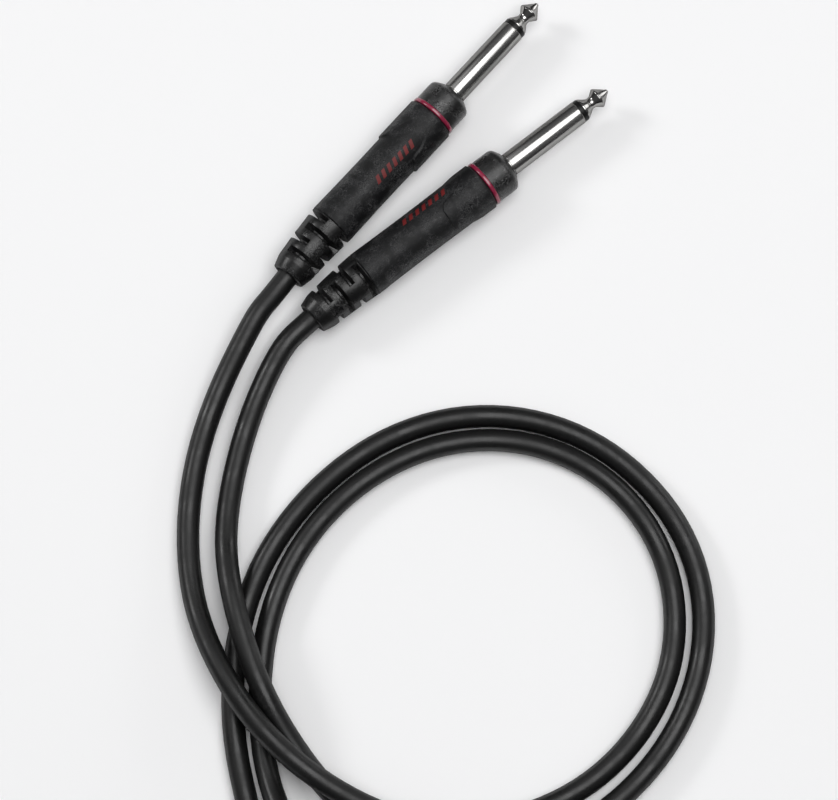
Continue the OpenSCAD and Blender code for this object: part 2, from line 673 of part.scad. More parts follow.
module tip_contact_a() { color("silver") in_plug_a() tip_contact(); }
module tip_insulator_a() { color("black") in_plug_a() tip_insulator(); }
module sleeve_contact_a() { color("silver") in_plug_a() sleeve_contact(); }
module rear_bush_a() { color("dimgray") in_plug_a() rear_bush(); }
module tip_terminal_a() { color("gold") in_plug_a() tip_terminal(); }
module sleeve_terminal_a() { color("gold") in_plug_a() sleeve_terminal(); }
module tip_solder_a() { color("lightgray") in_plug_a() tip_solder(); }
module sleeve_solder_a() { color("lightgray") in_plug_a() sleeve_solder(); }
module collar_a() { color("#1c1c1c") in_plug_a() collar(); }
module colour_ring_a() { color("crimson") in_plug_a() colour_ring(); }
module barrel_shell_a() { color("gray") in_plug_a(barrel_a_roll) barrel_shell(); }
module barrel_grip_a() { color("#202020") in_plug_a(barrel_a_roll) barrel_grip(); }
module liner_a() { color("ivory") in_plug_a(barrel_a_roll) liner(); }
module boot_a() { color("#181818") in_plug_a(boot_a_roll) boot(); }
module jacket_end_a() { color("#222222") in_plug_a() jacket_end(); }
module shield_a() { color("peru") in_plug_a() shield(); }
module dielectric_a() { color("white") in_plug_a() dielectric(); }
module conductor_a() { color("peru") in_plug_a() conductor(); }

// ---------------------------------------------------------------- nodes, plug B

module tip_contact_b() { color("silver") in_plug_b() tip_contact(); }
module tip_insulator_b() { color("black") in_plug_b() tip_insulator(); }
module sleeve_contact_b() { color("silver") in_plug_b() sleeve_contact(); }
module rear_bush_b() { color("dimgray") in_plug_b() rear_bush(); }
module tip_terminal_b() { color("gold") in_plug_b() tip_terminal(); }
module sleeve_terminal_b() { color("gold") in_plug_b() sleeve_terminal(); }
module tip_solder_b() { color("lightgray") in_plug_b() tip_solder(); }
module sleeve_solder_b() { color("lightgray") in_plug_b() sleeve_solder(); }
module collar_b() { color("#1c1c1c") in_plug_b() collar(); }
module colour_ring_b() { color("crimson") in_plug_b() colour_ring(); }
module barrel_shell_b() { color("gray") in_plug_b(barrel_b_roll) barrel_shell(); }
module barrel_grip_b() { color("#202020") in_plug_b(barrel_b_roll) barrel_grip(); }
module liner_b() { color("ivory") in_plug_b(barrel_b_roll) liner(); }
module boot_b() { color("#181818") in_plug_b(boot_b_roll) boot(); }
module jacket_end_b() { color("#222222") in_plug_b() jacket_end(); }
module shield_b() { color("peru") in_plug_b() shield(); }
module dielectric_b() { color("white") in_plug_b() dielectric(); }
module conductor_b() { color("peru") in_plug_b() conductor(); }

// ---------------------------------------------------------------- nodes, cord

module cable_run_a() { color("#222222") tube(run_a, run_sides, -heading(plug_a_heading), -coil_out_dir); }
module cable_coil() { color("#222222") tube(coil_path, coil_sides, coil_in_dir, coil_out_dir); }
module cable_run_b() { color("#222222") tube(run_b, run_sides, -heading(plug_b_heading), coil_in_dir); }
module coil_tie() { color("#303030") tie_band(); }

tip_contact_a();
tip_insulator_a();
sleeve_contact_a();
rear_bush_a();
tip_terminal_a();
sleeve_terminal_a();
tip_solder_a();
sleeve_solder_a();
collar_a();
colour_ring_a();
barrel_shell_a();
barrel_grip_a();
liner_a();
boot_a();
jacket_end_a();
shield_a();
dielectric_a();
conductor_a();
tip_contact_b();
tip_insulator_b();
sleeve_contact_b();
rear_bush_b();
tip_terminal_b();
sleeve_terminal_b();
tip_solder_b();
sleeve_solder_b();
collar_b();
colour_ring_b();
barrel_shell_b();
barrel_grip_b();
liner_b();
boot_b();
jacket_end_b();
shield_b();
dielectric_b();
conductor_b();
cable_run_a();
cable_coil();
cable_run_b();
coil_tie();
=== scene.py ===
"""Looks of the instrument cable: turned metal, moulded plastic, soft grips, slotted boots and the cord.

Everything is in metres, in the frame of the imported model. Each plug is modelled once along its own
+Z axis, towards the tip, with Z = 0 at its collar's front face, and copied into its two places.
"""

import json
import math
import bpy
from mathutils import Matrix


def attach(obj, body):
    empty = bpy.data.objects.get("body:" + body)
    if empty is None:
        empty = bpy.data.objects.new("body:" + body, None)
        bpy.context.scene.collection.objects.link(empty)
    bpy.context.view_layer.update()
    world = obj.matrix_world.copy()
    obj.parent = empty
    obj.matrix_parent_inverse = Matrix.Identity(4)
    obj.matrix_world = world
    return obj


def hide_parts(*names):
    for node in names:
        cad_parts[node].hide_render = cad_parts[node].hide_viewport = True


bl_info = {
    "name": "Instrument Cable Looks",
    "version": (1, 0, 0),
    "blender": (4, 5, 0),
    "location": "View3D > Sidebar > Cable",
    "description": "Models and finishes the visible pieces of an instrument cable round its packed frame",
    "category": "Object",
}

import bpy
from bpy.props import FloatProperty, FloatVectorProperty, PointerProperty
from mathutils import Matrix, Vector

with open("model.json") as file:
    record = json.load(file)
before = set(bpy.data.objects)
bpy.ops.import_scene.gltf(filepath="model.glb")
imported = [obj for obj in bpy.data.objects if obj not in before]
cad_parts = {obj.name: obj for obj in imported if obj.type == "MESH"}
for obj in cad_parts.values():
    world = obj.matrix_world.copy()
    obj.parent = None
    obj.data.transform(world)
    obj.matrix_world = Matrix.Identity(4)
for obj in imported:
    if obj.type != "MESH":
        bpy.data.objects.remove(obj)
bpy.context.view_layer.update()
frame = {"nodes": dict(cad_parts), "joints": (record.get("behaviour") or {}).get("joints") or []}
NODES = frame["nodes"]
MM = 0.001
JOINTS = {joint["name"]: joint for joint in frame["joints"]}

# Stations along a plug's axis and matching radii, millimetres, as in the part's source
FLANGE_BACK = -1.8
BARREL_FRONT = -8.6
BOOT_FRONT = -47.5
BOOT_END = -65.1
SLOT_START = 1.05
SLOT_COUNT = 4
BRIDGE_ANGLE = 50
ROD_R = 1.2
CORE_R = 2.08
FLANGE_R = 5.2
PILOT_R = 4.75
EASE = 0.02
# How far each barrel and boot is turned about its axis, in degrees
ROLLS = {"barrel": {"a": 0, "b": -57}, "boot": {"a": 22, "b": -52}}


# ---------------------------------------------------------------- settings


class CableSizes(bpy.types.PropertyGroup):
    """Sizes of the plugs' visible pieces and of the cord, in millimetres"""

    shaft_len: FloatProperty(name="Shaft length", description="Collar to the point of the tip", default=33)
    shaft_d: FloatProperty(name="Shaft diameter", description="Across the sleeve contact", default=6.35)
    sleeve_end: FloatProperty(name="Sleeve front", description="Collar to the front of the sleeve",
                              default=23.3)
    collar_d: FloatProperty(name="Collar diameter", description="Across the collar", default=12.4)
    collar_len: FloatProperty(name="Collar length", description="Front face to colour ring", default=7.4)
    ring_d: FloatProperty(name="Ring diameter", description="Across the colour ring", default=12.9)
    ring_len: FloatProperty(name="Ring length", description="Along the colour ring", default=1.1)
    barrel_len: FloatProperty(name="Barrel length", description="Along the soft grip", default=38.8)
    pad_d: FloatProperty(name="Pad diameter", description="Across the two finger pads", default=13.32)
    slot_pitch: FloatProperty(name="Slot pitch", description="From one boot slot to the next", default=3.65)
    thread_pitch: FloatProperty(name="Thread pitch", description="One turn of the thread", default=0.75)
    flex: FloatProperty(name="Boot flex", description="Bend of a boot towards its cord, in degrees",
                        default=4.6)
    cord_d: FloatProperty(name="Cord diameter", description="Across the cord", default=5.8)
    cord_len: FloatProperty(name="Cord length", description="Boot to boot", default=2800.7)


class CableFinish(bpy.types.PropertyGroup):
    """Colours of the finishes"""

    metal: FloatVectorProperty(name="Plating", description="Plated contacts", subtype="COLOR",
                               default=(0.44, 0.435, 0.425))
    grip: FloatVectorProperty(name="Grip", description="Soft grip", subtype="COLOR",
                              default=(0.004, 0.0041, 0.0046))
    boot: FloatVectorProperty(name="Boot", description="Strain relief", subtype="COLOR",
                              default=(0.0025, 0.0025, 0.0026))
    collar: FloatVectorProperty(name="Collar", description="Front collar", subtype="COLOR",
                                default=(0.003, 0.003, 0.003))
    cord: FloatVectorProperty(name="Cord", description="Cord jacket", subtype="COLOR",
                              default=(0.003, 0.003, 0.003))
    ring: FloatVectorProperty(name="Colour ring", description="Coding ring", subtype="COLOR",
                              default=(0.27, 0.014, 0.05))
    mark: FloatVectorProperty(name="Printed bars", description="Bars printed on the grip", subtype="COLOR",
                              default=(0.16, 0.014, 0.014))
    strap: FloatVectorProperty(name="Strap", description="Strap round the coil", subtype="COLOR",
                               default=(0.009, 0.009, 0.0095))


class CableStage(bpy.types.PropertyGroup):
    """Camera, lamps and floor"""

    distance: FloatProperty(name="Camera distance", description="Camera to the aim point", default=1.1,
                            unit="LENGTH")
    elevation: FloatProperty(name="Camera elevation", description="Above the floor, in degrees", default=78)
    focal: FloatProperty(name="Focal length", description="In millimetres on a 36 mm sensor", default=182.9)
    aim: FloatVectorProperty(name="Aim", description="Point on the floor at the picture's middle",
                             default=(-0.0058, -0.06095, 0))
    floor_grey: FloatProperty(name="Floor", description="Brightness of the floor", default=0.96)


def sizes():
    return bpy.context.scene.cable_sizes


def finish():
    return bpy.context.scene.cable_finish


# ---------------------------------------------------------------- places


def tip_direction(side):
    return -Vector(JOINTS["barrel_screw_" + side]["axis"])


def plug_matrix(side):
    """Local plug space, in metres, to the frame: +Z to the tip, -X up, origin at the collar's face."""
    towards_tip = tip_direction(side)
    face_from_joint = 20 * MM
    origin = Vector(JOINTS["barrel_screw_" + side]["pos_m"]) + face_from_joint * towards_tip
    down = Vector((0, 0, -1))
    rotation = Matrix((down, towards_tip.cross(down), towards_tip)).transposed().to_4x4()
    return Matrix.Translation(origin) @ rotation


def flex_step():
    """Bend of a boot at each level of its slots, in radians."""
    return math.radians(sizes().flex / SLOT_COUNT)


def flexed(z):
    """Where a point on a plug's axis comes to when its boot flexes to the right of the heading."""
    turn_here = Matrix.Rotation(-flex_step(), 4, "X")
    turned = Matrix.Identity(4)
    for pivot in slot_stations():
        if z < pivot:
            centre = turned @ Vector((0, 0, pivot))
            turned = Matrix.Translation(centre) @ turn_here @ Matrix.Translation(-centre) @ turned
    return turned @ Vector((0, 0, z))


def on_axis(side, z):
    """Point of a plug's flexed axis in the frame, in millimetres."""
    return plug_matrix(side) @ (flexed(z) * MM) / MM


def slot_stations():
    """Middle of each level of boot slots, as z in millimetres."""
    return [BOOT_FRONT - SLOT_START - i * sizes().slot_pitch for i in range(SLOT_COUNT)]


# ---------------------------------------------------------------- modelling helpers


def leave_edit():
    bpy.ops.object.mode_set(mode="OBJECT")


def deselect():
    if bpy.context.object and bpy.context.object.mode != "OBJECT":
        leave_edit()
    bpy.ops.object.select_all(action="DESELECT")


def only(obj):
    """Makes obj the one selected and active object."""
    deselect()
    obj.select_set(True)
    bpy.context.view_layer.objects.active = obj


def smooth(obj, angle=32):
    only(obj)
    bpy.ops.object.shade_smooth_by_angle(angle=math.radians(angle))


def apply_modifier(obj, kind, **values):
    only(obj)
    modifier = obj.modifiers.new("shape", kind)
    for key, value in values.items():
        setattr(modifier, key, value)
    bpy.ops.object.modifier_apply(modifier=modifier.name)


def primitive(kind, name, **values):
    """Mesh primitive made by the operator kind, its location and rotation applied."""
    deselect()
    kind(**values)
    obj = bpy.context.object
    obj.name = name
    bpy.ops.object.transform_apply(location=True, rotation=True, scale=True)
    return obj


def turn(name, outline, bored=False, segments=96):
    """Turned piece from (radius, z) points in millimetres: a circle that is extruded and scaled along."""
    first_r, first_z = outline[0]
    obj = primitive(bpy.ops.mesh.primitive_circle_add, name, vertices=segments, radius=first_r * MM,
                    fill_type="NOTHING", location=(0, 0, first_z * MM))
    edit(obj, "VERT", "SELECT")
    for (r0, z0), (r1, z1) in zip(outline, outline[1:]):
        bpy.ops.mesh.extrude_edges_move(TRANSFORM_OT_translate={"value": (0, 0, (z1 - z0) * MM)})
        bpy.ops.transform.resize(value=(r1 / r0, r1 / r0, 1), center_override=(0, 0, 0))
    bpy.ops.mesh.select_all(action="DESELECT")
    bpy.ops.mesh.select_non_manifold()
    if bored:
        bpy.ops.mesh.bridge_edge_loops()
    else:
        bpy.ops.mesh.fill_holes(sides=0)
    bpy.ops.mesh.select_all(action="SELECT")
    bpy.ops.mesh.normals_make_consistent(inside=False)
    leave_edit()
    smooth(obj)
    return obj


def rounded(*corners, steps=4):
    """Outline whose corners are (radius, z) or (radius, z, rounding), in millimetres."""
    points = []
    for i, corner in enumerate(corners):
        here = Vector(corner[:2])
        if len(corner) == 2:
            points.append(tuple(here))
            continue
        before = here + corner[2] * (Vector(corners[i - 1][:2]) - here).normalized()
        after = here + corner[2] * (Vector(corners[i + 1][:2]) - here).normalized()
        for k in range(steps + 1):
            t = k / steps
            points.append(tuple((1 - t) ** 2 * before + 2 * t * (1 - t) * here + t * t * after))
    return points


def edit(obj, mode="FACE", action="DESELECT"):
    """Starts edit mode on obj with nothing selected, or with all when action is SELECT."""
    only(obj)
    bpy.ops.object.mode_set(mode="EDIT")
    bpy.ops.mesh.select_mode(type=mode)
    bpy.ops.mesh.select_all(action=action)


def pick(obj, test, kind="vertices"):
    """Selects the vertices or faces for which test(place in millimetres, item) is true."""
    leave_edit()
    for item in getattr(obj.data, kind):
        place = (item.co if kind == "vertices" else item.center) / MM
        item.select = test(place, item)
    bpy.ops.object.mode_set(mode="EDIT")


def clean_shell(obj):
    """Merges doubles and turns all faces outwards."""
    merge_distance = 1e-7
    edit(obj, action="SELECT")
    bpy.ops.mesh.remove_doubles(threshold=merge_distance)
    bpy.ops.mesh.normals_make_consistent(inside=False)
    leave_edit()


def close_ends(obj):
    """Fills the open ends of a swept solid."""
    edit(obj, "VERT")
    bpy.ops.mesh.select_non_manifold()
    bpy.ops.mesh.fill_holes(sides=0)
    leave_edit()
    clean_shell(obj)


def cut(obj, tool, operation="DIFFERENCE"):
    """Cuts, joins or intersects obj with another solid, which is used up."""
    apply_modifier(obj, "BOOLEAN", operation=operation, solver="EXACT", object=tool)
    bpy.data.objects.remove(tool)


def soften(obj, width, segments=2, angle=30, shade=38):
    """Rounds the sharp edges of a finished solid."""
    clean_shell(obj)
    apply_modifier(obj, "BEVEL", width=width * MM, segments=segments, limit_method="ANGLE",
                   angle_limit=math.radians(angle), use_clamp_overlap=True, miter_outer="MITER_ARC")
    smooth(obj, shade)


def sector(name, corners, start, angle, steps):
    """Part of a turned ring: a profile of four (radius, z) corners swept from start through angle."""
    (r0, z0), (r1, z1), (r2, z2), (r3, z3) = corners
    obj = primitive(bpy.ops.mesh.primitive_plane_add, name, size=2 * MM, rotation=(math.pi / 2, 0, 0))
    for vertex in obj.data.vertices:
        inner, low = vertex.co.x < 0, vertex.co.z < 0
        r, z = ((r0, z0) if low else (r3, z3)) if inner else ((r1, z1) if low else (r2, z2))
        vertex.co = (r * MM, 0, z * MM)
    edit(obj, action="SELECT")
    bpy.ops.mesh.delete(type="ONLY_FACE")
    leave_edit()
    apply_modifier(obj, "SCREW", axis="Z", angle=math.radians(angle), steps=steps, render_steps=steps,
                   use_merge_vertices=False)
    close_ends(obj)
    obj.data.transform(Matrix.Rotation(math.radians(start), 4, "Z"))
    return obj


def ridge(name, r, z, size, pitch, turns, steps=64):
    """Helical thread ridge of a diamond section, running back from z."""
    obj = primitive(bpy.ops.mesh.primitive_circle_add, name, vertices=4, radius=size * MM,
                    fill_type="NOTHING", location=(r * MM, 0, z * MM), rotation=(math.pi / 2, 0, 0))
    apply_modifier(obj, "SCREW", axis="Z", angle=2 * math.pi, screw_offset=-pitch * MM, iterations=turns,
                   steps=steps, render_steps=steps)
    close_ends(obj)
    return obj


def join(target, *others):
    deselect()
    for obj in (*others, target):
        obj.select_set(True)
    bpy.context.view_layer.objects.active = target
    bpy.ops.object.join()
    return target


def twin(obj):
    """A copy with its own mesh."""
    copy = obj.copy()
    copy.data = obj.data.copy()
    bpy.context.scene.collection.objects.link(copy)
    return copy


def seat(obj, side, roll=0):
    """Puts a locally modelled piece into its plug's place, in its mesh."""
    obj.data.transform(plug_matrix(side) @ Matrix.Rotation(math.radians(roll), 4, "Z"))
    obj.data.update()


def coat(obj, material):
    """Gives all of obj one material."""
    obj.data.materials.clear()
    obj.data.materials.append(material)
    for polygon in getattr(obj.data, "polygons", ()):
        polygon.material_index = 0


def finish_piece(obj, material, body, slot, *nodes):
    coat(obj, material)
    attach(obj, body)
    if nodes:
        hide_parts(*nodes)


def for_both(master, piece, body, slot, material, nodes=(), rolls=(0, 0)):
    """Places a copy of a piece in plug A and the piece in plug B; material may be a function of the side."""
    for side, roll in zip("ab", rolls):
        obj = master if side == "b" else twin(master)
        obj.name = piece + "_" + side
        seat(obj, side, roll)
        target = body if body == "core" else body + "_" + side
        finish_piece(obj, material(side) if callable(material) else material, target, slot,
                     *[node + "_" + side for node in nodes])


# ---------------------------------------------------------------- shader groups


def new_group(name, inputs, outputs):
    """Empty node group that takes a vector and numbers with defaults, and gives numbers."""
    tree = bpy.data.node_groups.new(name, "ShaderNodeTree")
    tree.interface.new_socket(name="Vector", in_out="INPUT", socket_type="NodeSocketVector")
    for label, default in inputs.items():
        socket = tree.interface.new_socket(name=label, in_out="INPUT", socket_type="NodeSocketFloat")
        socket.default_value = default
    for label in outputs:
        tree.interface.new_socket(name=label, in_out="OUTPUT", socket_type="NodeSocketFloat")
    return tree, tree.nodes.new("NodeGroupInput"), tree.nodes.new("NodeGroupOutput")


def connect(tree, node, **links):
    """Feeds inputs, by name or as i0, i1 and so on, from numbers, colours or other nodes' outputs."""
    for key, source in links.items():
        place = int(key[1:]) if key[0] == "i" and key[1:].isdigit() else key.replace("_", " ")
        if isinstance(source, (int, float)):
            node.inputs[place].default_value = source
        elif isinstance(source, tuple):
            node.inputs[place].default_value = (*source, 1)
        else:
            tree.links.new(source, node.inputs[place])


def add(tree, kind, values=None, **links):
    """Adds a node, sets its properties or inputs to values and connects its inputs."""
    node = tree.nodes.new(kind)
    for key, value in (values or {}).items():
        if hasattr(node, key):
            setattr(node, key, value)
        else:
            node.inputs[key].default_value = value
    connect(tree, node, **links)
    return node


def maths(tree, operation, *terms):
    """Output of a maths node whose terms are numbers or outputs."""
    links = {"i" + str(place): term for place, term in enumerate(terms)}
    return add(tree, "ShaderNodeMath", {"operation": operation}, **links).outputs[0]


def scaled(tree, value, low, high, start=0.0, end=1.0):
    """Output that goes from low to high while value goes from start to end."""
    return add(tree, "ShaderNodeMapRange",
               {"From Min": start, "From Max": end, "To Min": low, "To Max": high}, Value=value).outputs[0]


def object_space(tree):
    return add(tree, "ShaderNodeTexCoord").outputs["Object"]


def grain_group():
    """Fine grain, soft smudges and thin scuff lines as masks from 0 to 1, and one height"""
    tree, ins, outs = new_group(
        "Moulded Grain", {"Grain Size": 0.0004, "Smudge Size": 0.006, "Scuff Size": 0.002},
        ("Grain", "Smudge", "Scuff", "Height"))
    noises = {}
    for label, detail, rough, distortion in (("Grain", 3.0, 0.6, 0.0), ("Smudge", 4.0, 0.6, 0.4),
                                             ("Scuff", 3.0, 0.55, 2.2)):
        noises[label] = add(tree, "ShaderNodeTexNoise",
                            {"Detail": detail, "Roughness": rough, "Distortion": distortion},
                            Vector=ins.outputs["Vector"],
                            Scale=maths(tree, "DIVIDE", 1.0, ins.outputs[label + " Size"])).outputs[0]
    smudge = scaled(tree, noises["Smudge"], 0.0, 1.0, start=0.4, end=0.66)
    off_line = maths(tree, "ABSOLUTE", maths(tree, "SUBTRACT", noises["Scuff"], 0.5))
    line = scaled(tree, off_line, 1.0, 0.0, end=0.045)
    patchy = maths(tree, "MULTIPLY", line, smudge)
    scuff_height = 0.6
    height = maths(tree, "MULTIPLY_ADD", patchy, scuff_height, noises["Grain"])
    connect(tree, outs, Grain=noises["Grain"], Smudge=smudge, Scuff=patchy, Height=height)
    return tree


def weave_group():
    """Plain weave seen from all sides: painted light and shade from 0 to 1, lighter on the threads' crests
    and darker in the dips between them, and height
    """
    tree, ins, outs = new_group("Strap Weave", {"Thread Size": 0.0005}, ("Tone", "Height"))
    scale = maths(tree, "DIVIDE", 0.16, ins.outputs["Thread Size"])
    waves = [add(tree, "ShaderNodeTexWave", {"bands_direction": way, "Distortion": 0.6, "Detail": 1.0},
                 Vector=ins.outputs["Vector"], Scale=scale).outputs[0] for way in "XYZ"]
    height = maths(tree, "MAXIMUM", waves[0], maths(tree, "MULTIPLY", waves[1], waves[2]))
    # The weave's colour output is its height: painted shade in the dips and painted light on the crests.
    connect(tree, outs, Tone=height, Height=height)
    return tree


def new_material(name):
    material = bpy.data.materials.new(name)
    material.use_nodes = True
    return material, material.node_tree, material.node_tree.nodes["Principled BSDF"]


def along_plug(tree, side):
    """Object coordinates turned so that X runs along the plug."""
    towards_tip = tip_direction(side)
    heading = math.atan2(towards_tip.y, towards_tip.x)
    return add(tree, "ShaderNodeMapping", {"vector_type": "TEXTURE", "Rotation": (0, 0, heading)},
               Vector=object_space(tree)).outputs[0]


def grained(tree, vector, grain, smudge, scuff):
    """The grain group's node, with the sizes of its three patterns; the group is built once."""
    pattern = bpy.data.node_groups.get("Moulded Grain") or grain_group()
    return add(tree, "ShaderNodeGroup", {"node_tree": pattern, "Grain Size": grain, "Smudge Size": smudge,
                                         "Scuff Size": scuff}, Vector=vector)


def mix_colour(tree, mask, low, high):
    """Output that goes from one colour to the other as mask goes from 0 to 1."""
    return add(tree, "ShaderNodeMix", {"data_type": "RGBA"}, i0=mask, i6=low, i7=high).outputs[2]


def bump(tree, shader, height, depth):
    node = add(tree, "ShaderNodeBump", {"Distance": depth, "Strength": 1.0}, Height=height)
    connect(tree, shader, Normal=node.outputs["Normal"])


def tinted(colour, gain, lift=0.0):
    return tuple(min(1.0, c * gain + lift) for c in colour)


def moulded(name, colour, rough, smudge, scuff, depth, spread, scuff_lift, specular, grain=0.0004,
            smudge_gain=2.0, edge_rough=1.0, side=None):
    """Dark moulded plastic or rubber: grain, smudges and thin scuffs, duller where it turns away."""
    material, tree, shader = new_material(name)
    vector = along_plug(tree, side) if side else object_space(tree)
    pattern = grained(tree, vector, grain, smudge, scuff)
    clouded = mix_colour(tree, pattern.outputs["Smudge"], tuple(colour), tinted(colour, smudge_gain))
    scuffed = mix_colour(tree, pattern.outputs["Scuff"], clouded, tinted(colour, smudge_gain, scuff_lift))
    gloss = scaled(tree, pattern.outputs["Smudge"], rough + spread, rough - spread)
    facing = add(tree, "ShaderNodeLayerWeight", {"Blend": 0.35})
    turned_away = scaled(tree, facing.outputs["Facing"], 0.0, edge_rough)
    connect(tree, shader, Base_Color=scuffed, Roughness=maths(tree, "MAXIMUM", gloss, turned_away),
            Specular_IOR_Level=specular)
    bump(tree, shader, pattern.outputs["Height"], depth)
    return material


def plated(name, colour, side, dull=0.4):
    """Plated turned metal: faint turning lines, a little smear in the gloss, dark at its outline."""
    material, tree, shader = new_material(name)
    mapping = along_plug(tree, side)
    around, drawn = (6000, 120, 120), (70, 900, 900)
    turning, smear = (
        add(tree, "ShaderNodeTexNoise", {"Scale": 1.0, "Detail": detail},
            Vector=add(tree, "ShaderNodeMapping", {"Scale": scale}, Vector=mapping).outputs[0]).outputs[0]
        for scale, detail in ((around, 2.0), (drawn, 3.0)))
    facing = add(tree, "ShaderNodeLayerWeight", {"Blend": 0.5})
    turned_away = scaled(tree, facing.outputs["Facing"], 0.0, 0.5, start=0.25, end=0.7)
    connect(tree, shader, Metallic=1, Specular_Tint=(0.0, 0.0, 0.0),
            Base_Color=mix_colour(tree, smear, tuple(colour), tinted(colour, 0.78)),
            Roughness=maths(tree, "ADD", scaled(tree, smear, 0.02, dull), turned_away))
    bump(tree, shader, turning, 0.000002)
    return material


def plain(name, colour, rough, metallic=0.0, grain=0.0003, depth=0.00001, specular=0.5):
    """Small pieces of one colour with fine grain."""
    material, tree, shader = new_material(name)
    pattern = grained(tree, object_space(tree), grain, grain * 10, grain * 6)
    connect(tree, shader, Metallic=metallic, Specular_IOR_Level=specular,
            Base_Color=mix_colour(tree, pattern.outputs["Smudge"], tuple(colour), tinted(colour, 0.82)),
            Roughness=scaled(tree, pattern.outputs["Grain"], rough * 0.8, min(1, rough * 1.2)))
    bump(tree, shader, pattern.outputs["Height"], depth)
    return material


def woven(name, colour):
    """Woven strap with a slight sheen, its colour lighter on the weave's crests and darker in its dips as
    painted light and shade
    """
    material, tree, shader = new_material(name)
    weave = add(tree, "ShaderNodeGroup", {"node_tree": weave_group()}, Vector=object_space(tree))
    # Base colour follows the weave's height: painted shade in the dips and painted light on the crests.
    connect(tree, shader, Roughness=0.85, Sheen_Weight=0.15, Specular_IOR_Level=0.2,
            Base_Color=mix_colour(tree, weave.outputs["Tone"], tinted(colour, 0.5), tinted(colour, 1.5)))
    bump(tree, shader, weave.outputs["Height"], 0.00012)
    return material


# ---------------------------------------------------------------- the cord's route


# [x, y, lift above lying on the floor], millimetres, as in the part's source
HEAD_A = (
    (-47.3, -39.1, 3.8), (-51.7, -47.7, 3.1), (-57.5, -59.5, 1.6), (-62.5, -74, 0.4), (-65, -89, 0),
    (-65, -104, 0.2), (-62.5, -118, 2.4), (-57, -131, 6.6), (-49.5, -143.5, 8.2), (-40, -154, 9),
    (-28.5, -162.5, 7.6), (-15.5, -169.2, 5.8), (-2, -172, 1.6),
)
TAIL_A = (
    (-44.8, -120.5, 0), (-46.4, -135, 0), (-46, -149, 0), (-43.5, -162.5, 1.6),
    (-38, -174.5, 7.2), (-28.5, -183.5, 14.5), (-17.5, -187.2, 18.3),
)
HEAD_B = (
    (-42.4, -50.8, 3.4), (-47.5, -61.4, 2), (-51.6, -73.6, 0.6), (-54.5, -87, 0.2), (-55.5, -100, 2.4),
    (-53.5, -113, 6.4), (-50, -126, 7.2), (-45.6, -138, 7.8), (-39.2, -149.2, 2.6),
    (-30.5, -161, 0), (-19.5, -171.5, 0), (-5, -178, 0),
)
TAIL_B = (
    (-51.5, -119.5, 0), (-53.6, -135.5, 0), (-52.6, -152.5, 0), (-48, -170, 0), (-44.5, -187, 0),
    (-42, -204, 0),
)
LOOP_CENTRE = (11.5, -120)
# Loop beside the plugs: angle, radius of the strand from plug A, radius of the strand from plug B
LOOP = (
    (-90, 51.5, 59.5), (-75, 49.5, 58), (-60, 48.6, 56.8), (-45, 48, 55.8), (-30, 47.9, 55.5),
    (-15, 48.3, 55.6), (0, 48.4, 55.9), (15, 48.8, 56.1), (30, 49, 55.8), (45, 49, 55.2),
    (60, 48.9, 55.1), (75, 48.7, 54.9), (90, 48.4, 54.8), (105, 48.4, 54.8), (120, 48.6, 55),
    (135, 49.4, 55.6), (150, 51, 57.3), (165, 53.3, 60),
)
EXIT_STEP = 4
CORD_START = -49.1
COIL_CENTRE = (0, -226)
COIL_START = 190
COIL_END = 90
COIL_WHOLE_TURNS = 8
COIL_LAYERS = 4
COIL_RADIUS = 31.4
COIL_GAP = 0.5
COIL_CLIMB = 0.5
COIL_END_SPARE = 0.2
COIL_STEPS_PER_TURN = 36
TIE_LIFT = 1.1
TIE_ANGLE = 270
TIE_FLAT = 24
TIE_RAMP = 26


def polar(centre, r, degrees, z):
    a = math.radians(degrees)
    return Vector((centre[0] + r * math.cos(a), centre[1] + r * math.sin(a), z))


def smoothstep(t):
    c = min(1, max(0, t))
    return c * c * (3 - 2 * c)


class Coil:
    """Piled coil: in on one layer, out on the next, climbing where the spiral reverses."""

    def __init__(self, cord_d):
        self.lying = cord_d / 2
        self.step = cord_d + COIL_GAP
        self.turns = COIL_WHOLE_TURNS + (COIL_END + 360 - COIL_START) / 360
        self.per_layer = self.turns / COIL_LAYERS
        self.r_in = COIL_RADIUS - self.per_layer * self.step / 2
        self.r_out = COIL_RADIUS + self.per_layer * self.step / 2
        self.end_len = cord_d + COIL_END_SPARE

    def point(self, t, gain=1.0):
        u = t / self.per_layer
        layer = min(COIL_LAYERS - 1, int(u))
        share = u - layer
        near, far = (self.r_out, self.r_in) if layer % 2 == 0 else (self.r_in, self.r_out)
        r = (near + (far - near) * share) * gain
        climbs = (smoothstep((u - k) * self.per_layer / COIL_CLIMB + 0.5) for k in range(1, COIL_LAYERS))
        degrees = COIL_START + 360 * t
        off_tie = abs((degrees - TIE_ANGLE + 540) % 360 - 180)
        raised = TIE_LIFT * (1 - smoothstep((off_tie - TIE_FLAT) / TIE_RAMP))
        return polar(COIL_CENTRE, r, degrees, self.lying + self.step * sum(climbs) + raised)

    def ends(self):
        """Both straight ends with their directions of travel: the lower one in, the upper one out."""
        little = 0.001
        way_in = (self.point(little) - self.point(0)).normalized()
        way_out = (self.point(self.turns) - self.point(self.turns - little)).normalized()
        return (self.point(0) - self.end_len * way_in, way_in,
                self.point(self.turns) + self.end_len * way_out, way_out)

    def controls(self):
        """Spline controls of the turns, set out a little so that the curve runs at the true radius."""
        count = round(self.turns * COIL_STEPS_PER_TURN)
        gain = 3 / (2 + math.cos(2 * math.pi / COIL_STEPS_PER_TURN))
        return [self.point(self.turns * i / count, gain) for i in range(1, count)]


